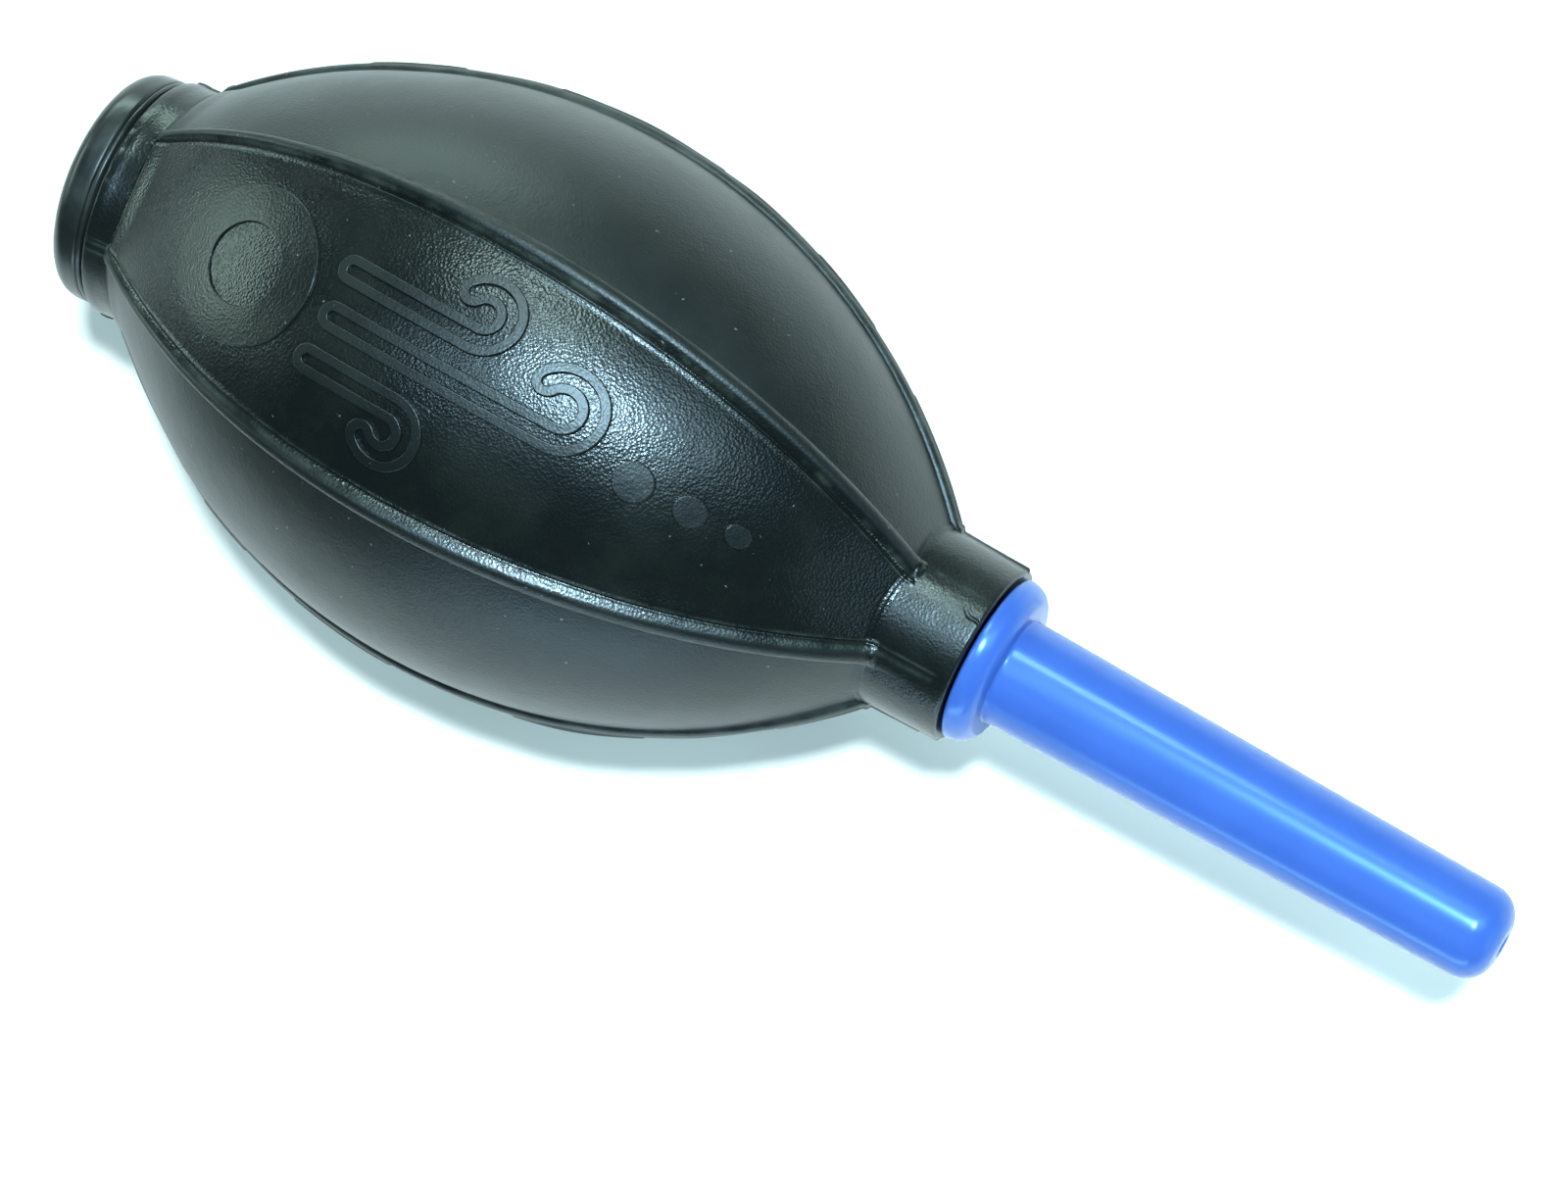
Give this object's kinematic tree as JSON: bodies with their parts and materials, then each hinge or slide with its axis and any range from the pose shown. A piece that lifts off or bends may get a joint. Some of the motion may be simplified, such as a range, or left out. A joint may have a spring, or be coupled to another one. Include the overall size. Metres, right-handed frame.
{
  "type": "dust blower bulb",
  "caption": "Hand-squeezed rubber air blower: ribbed ovoid bulb, push-in plastic nozzle and one-way inlet valve in the rear neck.",
  "frame": {"origin": "on the blower's axis, at the middle of its overall length", "axes": "+X along the axis from the rear valve to the nozzle's tip, +Z square to the panel that the thumb presses, between two ribs, +Y towards a rib"},
  "size_m": [0.156, 0.0578, 0.0562],
  "materials": {
    "rubber": "satin moulded black rubber with a fine orange-peel grain",
    "nozzle_plastic": "glossy blue plastic, slightly translucent",
    "cap_plastic": "satin black plastic",
    "cage_plastic": "natural nylon",
    "silicone": "soft translucent silicone"
  },
  "bodies": {
    "bulb": {"bulb_body": "rubber", "valve_cap": "cap_plastic", "valve_cage": "cage_plastic"},
    "thumb_wall": {"thumb_wall": "rubber"},
    "nozzle": {"nozzle": "nozzle_plastic"},
    "valve_disc": {"valve_disc": "silicone"}
  },
  "joints": [
    {"name": "squeeze", "type": "slide", "parent": "bulb", "child": "thumb_wall", "axis": [0, 0, -1], "range_m": [0, 0.016], "stiffness_N_per_m": 600},
    {"name": "nozzle_twist", "type": "hinge", "parent": "bulb", "child": "nozzle", "pos_m": [0.023, 0, 0], "axis": [1, 0, 0], "continuous": true},
    {"name": "valve_lift", "type": "slide", "parent": "bulb", "child": "valve_disc", "axis": [1, 0, 0], "range_m": [0, 0.0012]}
  ]
}
